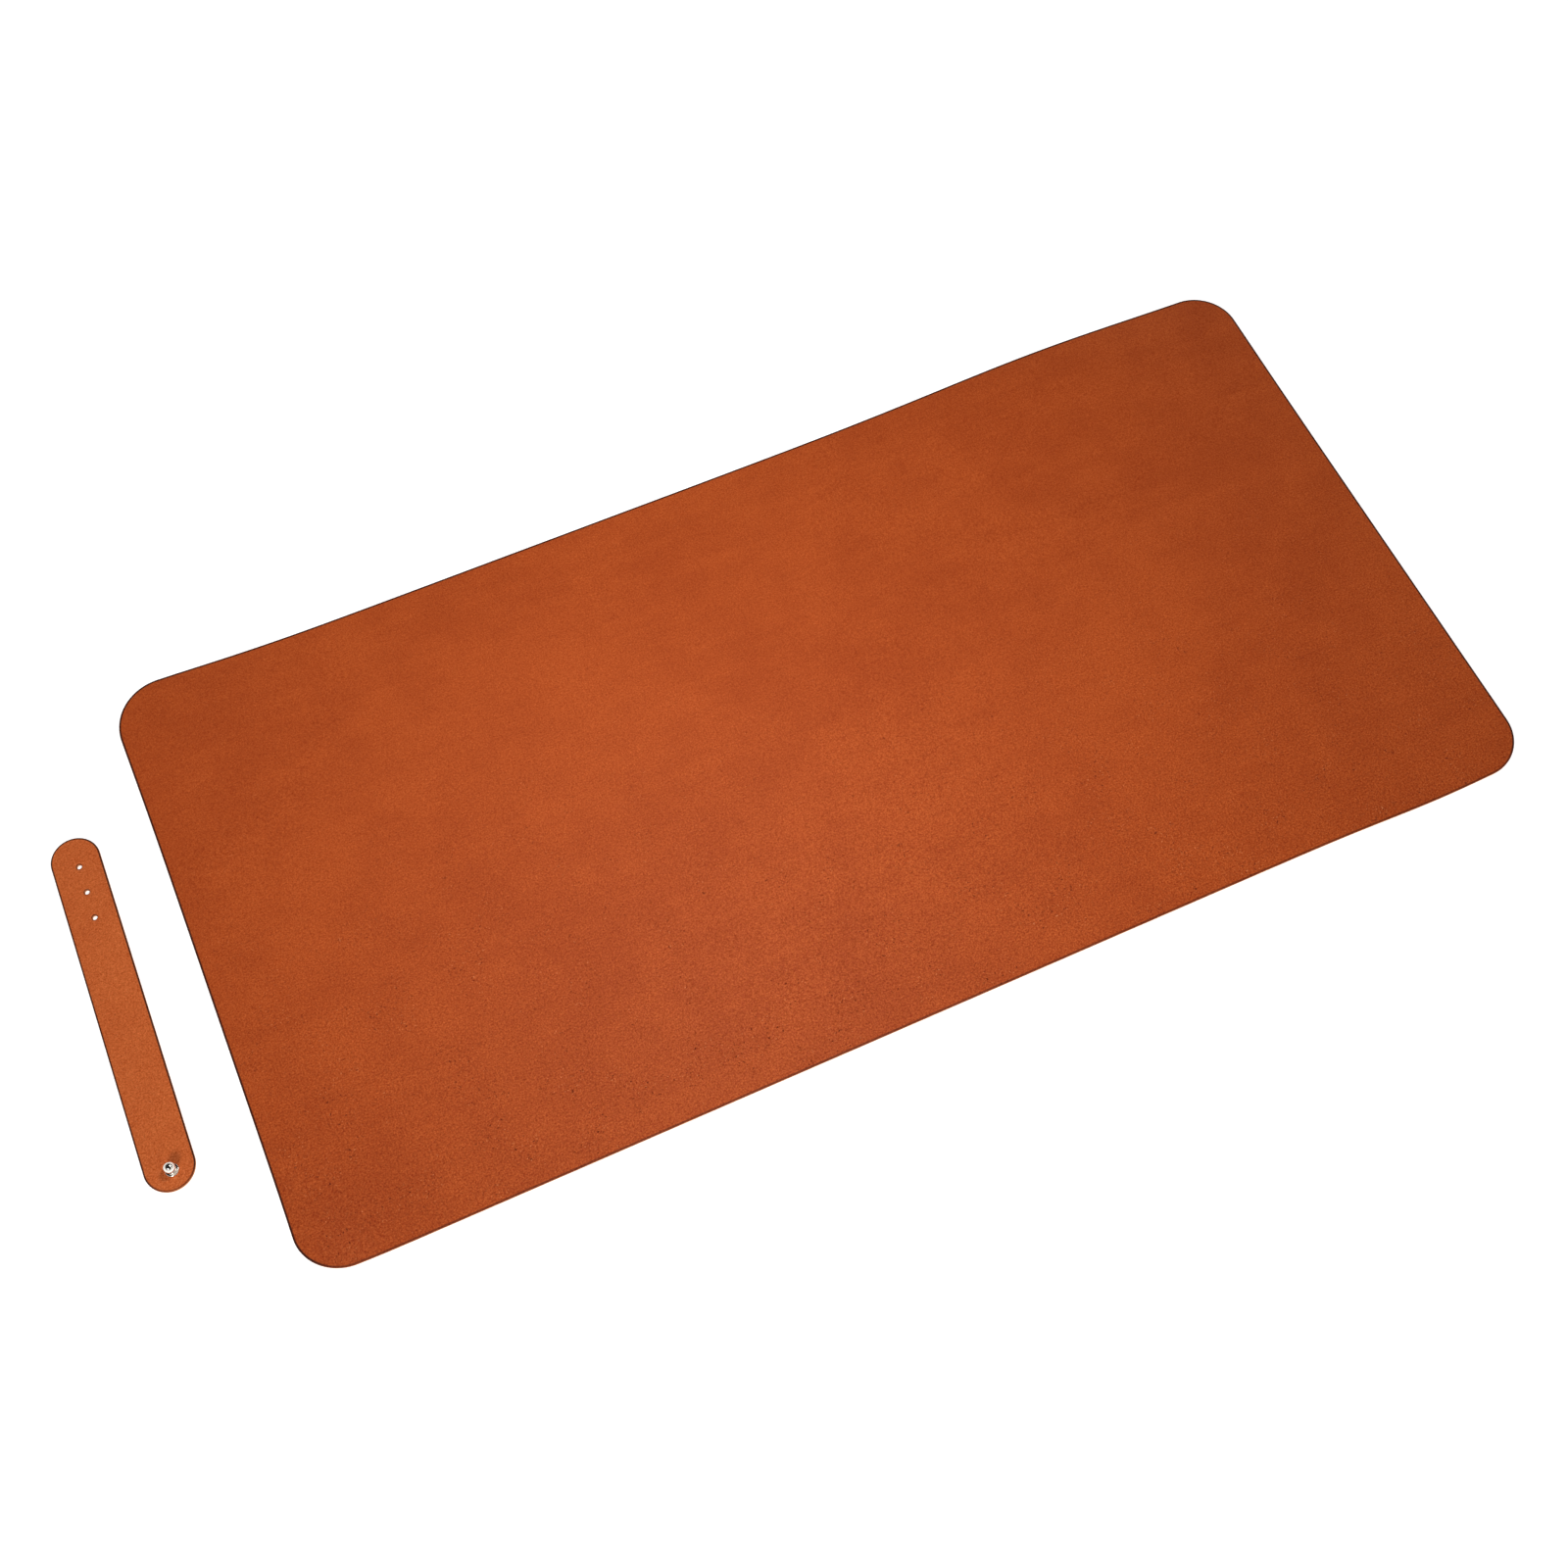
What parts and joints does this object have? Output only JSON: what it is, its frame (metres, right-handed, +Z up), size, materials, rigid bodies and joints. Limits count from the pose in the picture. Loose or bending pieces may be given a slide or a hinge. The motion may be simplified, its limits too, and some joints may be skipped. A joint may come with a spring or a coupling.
{
  "type": "desk mat",
  "caption": "Flat rectangular leather desk mat with round corners, and a loose storage strap that closes with a ball stud in a punched hole.",
  "frame": {"origin": "centre of the mat's underside, on the desk", "axes": "+X along the mat's length, away from the strap; +Y across its width, away from the user; +Z up out of the grain side"},
  "size_m": [0.8668, 0.4, 0.0115],
  "materials": {
    "grain_leather": "pebbled grain, satin, tan",
    "suede": "matt suede nap",
    "polished_nickel": "mirror polished",
    "plated_steel": "satin plated"
  },
  "bodies": {
    "mat": {"mat_grain_leather": "grain_leather", "mat_suede_backing": "suede"},
    "strap": {"strap_grain_leather": "grain_leather", "strap_suede_backing": "suede"},
    "stud": {"ball_stud": "polished_nickel", "stud_screw": "plated_steel"}
  },
  "joints": [
    {"name": "strap_lift", "type": "slide", "parent": "mat", "child": "strap", "axis": [0, 0, 1], "range_m": [0, 0.1]},
    {"name": "stud_turn", "type": "hinge", "parent": "strap", "child": "stud", "pos_m": [-0.4508, -0.106, 0], "axis": [0, 0, 1], "continuous": true}
  ]
}
